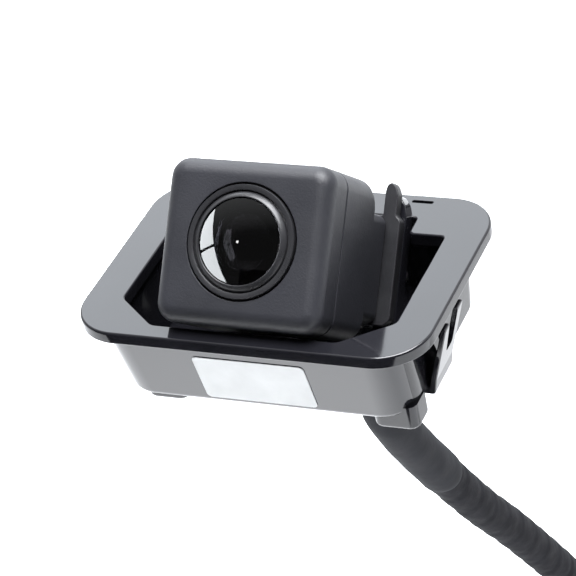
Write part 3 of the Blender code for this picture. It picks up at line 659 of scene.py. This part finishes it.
def make_plate(mat):
    """Rear plate with an upright ear on each side and blind holes for its screws."""
    ear = [(PLATE_HALF_W, NECK_TOP - 0.6), (EAR_OUTER, NECK_TOP), (EAR_OUTER, EAR_TOP - 1.6),
           (EAR_OUTER - 0.5, EAR_TOP - 0.5), (EAR_OUTER - 1.1, EAR_TOP),
           (EAR_INNER + 0.3, EAR_TOP - 0.3), (EAR_INNER, EAR_TOP - 1.2), (EAR_INNER, NECK_TOP)]
    outline = [(-PLATE_HALF_W, NECK_BOTTOM + 1.0), (-PLATE_HALF_W + 1.0, NECK_BOTTOM),
               (PLATE_HALF_W - 1.0, NECK_BOTTOM), (PLATE_HALF_W, NECK_BOTTOM + 1.0)]
    outline += ear + [(-x, z) for x, z in reversed(ear)]
    plate = solid("mounting_plate_visual", prism(outline, PLATE_S, PLATE_S + PLATE_T, 0.2), mat, CAMERA)
    end = PLATE_S + PLATE_T + 1
    holes = [(BORE_R, 0.0, 0.0, PLATE_S - 1), (0.8, *BRACKET_SCREW, PLATE_S + 0.6),
             (0.8, -BRACKET_SCREW[0], BRACKET_SCREW[1], PLATE_S + 0.6)]
    cuts = [less("hole", turned([(r, start), (r, end)], 48, cx=x, cz=z), CAMERA)
            for r, x, z, start in holes]
    show(combined(plate, cuts), ["mounting_plate"])


def make_lens(materials):
    """Trim ring, domed front glass, the coated lens behind its stop, and the stepped barrel."""
    ring = [(8.5, 1.1), (8.5, 0.05), (8.47, -0.24), (8.39, -0.35), (8.25, -0.35), (7.75, -0.35),
            (7.66, -0.31), (7.62, -0.2), (7.6, 0.05), (7.52, 0.12), (7.42, 0.08), (7.38, -0.15),
            (7.3, -0.3), (7.15, -0.46), (6.95, -0.63), (6.78, -0.75), (6.66, -0.81), (6.58, -0.82),
            (6.52, -0.78), (6.5, -0.7), (6.5, 1.1)]
    trim = solid("lens_trim_ring_visual", turned(ring, 128, ring=True), materials["ring_black"], CAMERA)
    show(trim, ["lens_trim_ring"])

    front = [(6.4, 0.7), (6.4, -0.5), (6.38, -0.56)]
    edge_r, apex, dome_r, steps = 6.33, -1.6, 21.0, 24
    for step in range(steps, -1, -1):
        r = max(edge_r * step / steps, AXIS_R)
        front.append((r, apex + dome_r - (dome_r ** 2 - r ** 2) ** 0.5))
    back = []
    bowl_r, bowl_edge, steps = 8.5, 4.4, 16
    depth = bowl_r - (bowl_r ** 2 - bowl_edge ** 2) ** 0.5
    for step in range(steps + 1):
        r = max(bowl_edge * step / steps, AXIS_R)
        back.append((r, 0.7 - depth + bowl_r - (bowl_r ** 2 - r ** 2) ** 0.5))
    lens = solid("front_lens_visual", turned(front + back), materials["lens_glass"], CAMERA)
    show(lens, ["front_lens"])

    bead_r, steps = 1.1, 24
    middle = [(max(3.7 * step / steps, AXIS_R), 4.0 + 1.3 * (step / steps)) for step in range(steps + 1)]
    middle = [(r, s if r > bead_r else 4.35 - 0.55 * (1 - (r / bead_r) ** 2) ** 0.5) for r, s in middle]
    middle += [(3.7, 5.7)] + [(max(3.6 * step / 12, AXIS_R), 6.3 - 0.55 * (step / 12) ** 2)
                              for step in range(12, -1, -1)]
    show(solid("middle_lens_visual", turned(middle, 64), materials["coated_bead"], CAMERA),
         ["middle_lens"])

    hole_r, hole_s = 0.95, 3.6
    barrel = [(6.5, 1.4), (6.5, 2.2), (6.0, 2.2), (6.0, 10.6), (4.4, 10.6), (4.4, 9.9), (4.0, 9.9),
              (4.0, 3.9), (hole_r + 0.2, 3.9), (hole_r, hole_s + 0.1)]
    steps = 6
    across, along = (4.7 - hole_r) / steps, (hole_s - 1.4) / steps
    for step in range(1, steps + 1):
        r, s = hole_r + across * step, hole_s - along * step
        barrel += [(r - 0.15, s + along), (r, s + 0.1)]
    barrel.append((4.8, 1.4))
    holder = solid("lens_barrel_visual", turned(barrel, ring=True), materials["barrel_black"], CAMERA)
    show(holder, ["lens_barrel"])


def make_gland(mat):
    """Nut and tapered, ribbed strain relief."""
    base = PLATE_S + PLATE_T + GAP
    profile = [(4.0, NECK_END_S - 1.2), (4.0, base), (5.0, base), (5.2, base + 0.2),
               (5.2, base + 2.0), (5.1, base + 2.4), (4.9, base + 2.6)]
    ribs = 4
    pitch = (GLAND_END_S - base - 2.8) / ribs
    for i in range(ribs):
        start, crest = base + 2.8 + i * pitch, 4.75 - 0.08 * i
        profile += [(4.35, start), (4.4, start + 0.15), (crest - 0.1, start + 0.25),
                    (crest, start + 0.4), (crest, start + pitch - 0.85),
                    (crest - 0.1, start + pitch - 0.65), (4.4, start + pitch - 0.5),
                    (4.35, start + pitch - 0.4)]
    profile += [(4.3, GLAND_END_S - 0.2), (4.15, GLAND_END_S)]
    gland = solid("cable_gland_visual", turned(profile, 64), mat, CAMERA)
    flats = []
    for k in range(6):
        turn = Matrix.Rotation(radians(60 * k), 4, "Y")
        flat = loft([(y, rectangle(-4.0, 4.0, 4.75, 6.5)) for y in (base + 0.25, base + 2.35)])
        flats.append(less("flat", flat, CAMERA @ turn))
    show(combined(gland, flats), ["cable_gland"])


# ------------------------------------------------------------------ cable and plug

def transported(points):
    """Tangent, side and up at each point, turned as little as possible along the way."""
    tangents = [(b - a).normalized() for a, b in zip(points, points[1:])]
    tangents = [tangents[0]] + [(a + b).normalized() for a, b in zip(tangents, tangents[1:])] \
        + [tangents[-1]]
    side = Vector((1, 0, 0))
    for tangent in tangents:
        side = (side - tangent * side.dot(tangent)).normalized()
        yield tangent, side, tangent.cross(side)


def tube(points, radius_at, around=40):
    """Closed tube whose radius at ring i, at angle a and at distance d is radius_at(i, a, d)."""
    bm = bmesh.new()
    loops, travelled = [], 0.0
    for i, (point, (_, side, up)) in enumerate(zip(points, transported(points))):
        if i:
            travelled += (point - points[i - 1]).length
        loop = []
        for k in range(around):
            angle = tau * k / around
            radius = radius_at(i, angle, travelled)
            loop.append(bm.verts.new(point + (side * cos(angle) + up * sin(angle)) * radius))
        loops.append(loop)
    for a, b in zip(loops, loops[1:]):
        for k, j in zip(range(around), [*range(1, around), 0]):
            bm.faces.new((a[k], a[j], b[j], b[k]))
    bm.faces.new(loops[0])
    bm.faces.new(loops[-1])
    return bm


def make_cable(materials, plug_pieces):
    """The taped cable runs from the gland to the plug, through a soft sleeve at first."""
    gland_end = CAMERA @ (Vector((0, GLAND_END_S + GAP, 0)) * MM) / MM
    sleeve_line = smooth_points([tuple(gland_end)] + SLEEVE_ROUTE, 1.0)
    tape_line = smooth_points(CABLE_ROUTE, 0.8)
    line = sleeve_line + tape_line
    hidden = len(sleeve_line) - 6

    pitch, lap, core = 9.0, 0.22, CABLE_D / 2 - 0.12

    def wound(i, angle, travelled):
        if i < hidden:
            return core - 0.1
        turn = (travelled / pitch - angle / tau) % 1.0
        ramp = min(turn / 0.08, 1.0)
        crease = 0.03 * sin(5 * angle + 0.9 * travelled) * sin(0.35 * travelled + angle)
        return core + lap * ramp * (1 - 0.75 * turn) + crease

    cable = solid("camera_cable_visual", tube(line, wound, 56), materials["cable_black"])
    show(cable, ["camera_cable"])

    end = len(sleeve_line) - 1

    def soft(i, angle, travelled):
        close = min(i, end - i)
        rim = {0: 0.3, 1: 0.06}.get(close, 0.0)
        return (SLEEVE_D / 2 - 0.1 - rim + 0.06 * sin(2 * angle + 0.11 * travelled)
                + 0.05 * sin(3 * angle - 0.37 * travelled) * sin(0.21 * travelled))

    sleeve = solid("cable_sleeve_visual", tube(sleeve_line, soft, 56), materials["sleeve_grey"])
    show(sleeve, ["cable_sleeve"])


def plug_axes():
    """Local y runs on from the cable, local z is the latch's side."""
    end, before = [smooth_points(CABLE_ROUTE, 12.0)[i] for i in (-1, -2)]
    along = (end - before).normalized()
    side = Vector((1, 0, 0))
    return axes_at(end + along * GAP, side, along, side.cross(along))


def make_plug(materials):
    """Sealed plug with its boot and latch; returns its pieces."""
    plug = plug_axes()
    boot = [(4.1, 0.0), (4.1, 1.2), (4.2, 1.6), (4.7, 2.2), (4.8, 2.5)]
    for rib in range(3):
        start = 2.7 + rib * 1.05
        boot += [(4.8, start), (4.6, start + 0.15), (4.6, start + 0.45), (4.8, start + 0.6)]
    boot.append((4.75, 6.0))
    pieces = [show(solid("connector_boot_visual", turned(boot, 64), materials["rubber_black"], plug),
                   ["connector_boot"])]

    def outline(half_w, half_h, inset=0.0, radius=1.3):
        return rounded_rect(-half_w + inset, half_w - inset, -half_h + inset, half_h - inset,
                            max(radius - inset, 0.3), 6)

    sections = [(6.3, outline(6.6, 4.4)), (7.1, outline(7.5, 4.9)), (7.4, outline(7.6, 5.0))]
    sections += [(17.0 - depth, outline(7.6, 5.0, inset))
                 for depth, inset in reversed(fillet_steps(0.3, 3))]
    sections += [(17.0, outline(6.8, 4.2))]
    sections += [(22.0 - depth, outline(6.8, 4.2, inset))
                 for depth, inset in reversed(fillet_steps(0.5, 4))]
    housing = solid("connector_housing_visual", loft(sections), materials["plug_grey"], plug)
    parts = []
    for x in (-2.6, 2.6):
        for z in (1.5, -1.9):
            hole = turned([(1.2, 9.0), (1.2, 21.7), (1.5, 22.1), (1.5, 23.0)], 32, cx=x, cz=z)
            parts.append(less("cavity", hole, plug))
    for side in (-1, 1):
        for k in range(5):
            start = 8.8 + 1.5 * k
            groove = soften(rectangle(*sorted((side * 7.35, side * 8.0)), -3.2, 3.2), 0.2)
            parts.append(less("groove", loft([(start, groove), (start + 0.7, groove)]), plug))
    pieces.append(show(combined(housing, parts), ["connector_housing"]))

    seal = []
    for step in range(12):
        angle = tau * step / 12
        grow = 0.15 * cos(angle)
        seal.append((18.05 + 0.75 * sin(angle), outline(7.25 + grow, 4.65 + grow)))
    pieces.append(show(solid("connector_seal_visual", loft(seal, ring=True), materials["seal_orange"],
                             plug), ["connector_seal"]))

    lever = [(-5.2, 0.3), (-4.8, 1.3), (-1.0, 0.5), (6.2, 0.5), (7.0, -0.2), (6.6, -0.9), (5.8, -0.2),
             (-0.9, -0.5), (-5.2, -0.3)]
    turn = plug @ Matrix.Translation(Vector((0, 13.0, 6.0)) * MM) @ Matrix.Rotation(radians(-90), 4, "Z")
    latch = prism([(-y, z) for y, z in lever], -3.0, 3.0, 0.12)
    latch = solid("connector_latch_visual", latch, materials["plug_grey"], turn)
    pieces.append(show(latch, ["connector_latch"], "plug_latch"))
    return pieces + [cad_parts["connector_terminal_" + letter] for letter in "abcd"]


# ------------------------------------------------------------------ studio

def softbox(name, place, aim, width, height, radiance, colour=(1, 1, 1)):
    """Area light that a mirror would show at this radiance."""
    data = bpy.data.lights.new(name, "AREA")
    data.shape, data.size, data.size_y = "RECTANGLE", width, height
    data.energy = radiance * pi * width * height
    data.color = colour
    light = bpy.data.objects.new(name, data)
    bpy.context.scene.collection.objects.link(light)
    light.location = place
    light.rotation_euler = (Vector(aim) - Vector(place)).to_track_quat("-Z", "Y").to_euler()
    light.visible_camera = False
    return light


def staged_sheet(name, corners, mat):
    """A flat piece of the studio."""
    bm = bmesh.new()
    bm.faces.new([bm.verts.new(corner) for corner in corners])
    mesh = bpy.data.meshes.new(name)
    bm.to_mesh(mesh)
    bm.free()
    mesh.materials.append(mat)
    obj = bpy.data.objects.new(name, mesh)
    bpy.context.scene.collection.objects.link(obj)
    return obj


def link_to_lens(light, state):
    """Let a light reach only the front lens (INCLUDE) or everything but it (EXCLUDE)."""
    pieces = bpy.data.collections.new(light.name + " and the lens")
    pieces.objects.link(bpy.data.objects["front_lens_visual"])
    light.light_linking.receiver_collection = pieces
    pieces.collection_objects[0].light_linking.link_state = state


def make_window():
    """A window on the left that only the front lens sees, in two panes."""
    towards = Vector(WINDOW_TOWARDS).normalized()
    right = towards.cross(Vector((0, 0, 1))).normalized()
    up = right.cross(towards)
    turn = Matrix.Rotation(radians(WINDOW_TURN), 3, -towards)
    for name, x, y, width in WINDOW_PANES:
        light = softbox(f"window, {name} pane", (0, 0, 1), (0, 0, 0), width, PANE_HEIGHT,
                        WINDOW_RADIANCE, (0.93, 0.97, 1.0))
        place = LENS_PLACE + towards * WINDOW_AWAY + right * x + up * y
        light.matrix_world = axes_at(place / MM, turn @ -right, turn @ up, towards)
        link_to_lens(light, "INCLUDE")


def make_world():
    """Pale overall, darker towards the front, and plain white behind the object."""
    world = bpy.data.worlds.new("studio")
    world.use_nodes = True
    tree = world.node_tree
    background = tree.nodes["Background"]
    direction = tree.nodes.new("ShaderNodeTexCoord")
    slope = tree.nodes.new("ShaderNodeVectorMath")
    slope.operation = "DOT_PRODUCT"
    slope.inputs[1].default_value = WORLD_AXIS
    tree.links.new(direction.outputs["Generated"], slope.inputs[0])
    level = tree.nodes.new("ShaderNodeMapRange")
    for socket, value in zip(("From Min", "From Max", "To Min", "To Max"), WORLD_RANGE):
        level.inputs[socket].default_value = value
    tree.links.new(slope.outputs["Value"], level.inputs["Value"])
    path = tree.nodes.new("ShaderNodeLightPath")
    seen = tree.nodes.new("ShaderNodeMix")
    seen.inputs["B"].default_value = WORLD_SEEN
    tree.links.new(path.outputs["Is Camera Ray"], seen.inputs["Factor"])
    tree.links.new(level.outputs["Result"], seen.inputs["A"])
    tree.links.new(seen.outputs["Result"], background.inputs["Strength"])
    background.inputs["Color"].default_value = (0.96, 0.98, 1.0, 1.0)
    bpy.context.scene.world = world


def make_studio(materials):
    half, z, y = FLOOR_HALF, FLOOR_Z, DARK_REFLECTION_Y
    staged_sheet("floor", [(-half, -half, z), (half, -half, z), (half, half, z), (-half, half, z)],
                 materials["floor"])
    # A black sheet that only glossy rays see: a painted dark reflection on the frame's glossy front,
    # casting no shadow
    low, high = -0.138, 0.08
    painted_dark_reflection = staged_sheet("painted dark reflection sheet", [(-0.35, y, low), (0.15, y, low), (0.15, y, high),
                                       (-0.06, y, high), (-0.06, y, 0.0), (-0.35, y, 0.0)],
                        materials["painted_dark_reflection"])
    # A faintly glowing sheet on the floor behind that only glossy rays see: a painted dim reflection in
    # the tongues and other glossy faces
    z = CARD_Z
    card = staged_sheet("painted dim reflection behind", [(-0.06, 0.06, z), (0.25, 0.06, z), (0.25, 0.5, z),
                                             (-0.06, 0.5, z)], materials["painted_dim_reflection"])
    # both sheets are painted reflections, hidden from the camera, from diffuse light and from shadows
    for sheet in (painted_dark_reflection, card):
        sheet.visible_camera = sheet.visible_diffuse = sheet.visible_shadow = False
        sheet.visible_transmission = sheet.visible_volume_scatter = False

    overhead = softbox("overhead", (0.12, 0.05, 0.8), (0, 0, 0), 0.6, 0.6, 19.0, (0.96, 0.97, 1.0))
    link_to_lens(overhead, "EXCLUDE")
    softbox("behind", (-0.52, 0.94, 0.74), (0, 0, 0), 0.9, 0.7, 3.0, (0.88, 0.94, 1.0))
    lamp = softbox("small lamp", LENS_PLACE + Vector(LAMP_OFFSET), LENS_PLACE, 0.016, 0.016, 26.0)
    link_to_lens(lamp, "INCLUDE")
    make_window()
    make_world()
    bpy.context.scene.view_settings.view_transform = "Standard"


# ------------------------------------------------------------------ build

def main():
    add_camera()
    materials = make_materials()
    make_cable(materials, make_plug(materials))
    finish_inner_nodes(materials)
    make_trim_frame(materials["gloss_black"])
    make_tongues(materials["gloss_black"])
    make_label(materials["label_white"])
    make_housings(materials["housing_grey"])
    steel = materials["screw_steel"]
    for index, (x, z) in enumerate(SCREW_PLACES):
        make_screw(f"housing_screw_{index + 1}", steel, x, z, BODY_END_S + GAP, 3.8, 1.1, 0.5)
    head = PLATE_S + PLATE_T + GAP + POST_T + GAP
    for side, word in ((-1, "left"), (1, "right")):
        make_screw("bracket_screw_" + word, steel, side * BRACKET_SCREW[0], BRACKET_SCREW[1],
                   head, PLATE_S + 0.9, 1.8, 0.55)
    make_plate(materials["plate_black"])
    make_lens(materials)
    make_gland(materials["rubber_black"])
    make_studio(materials)


main()
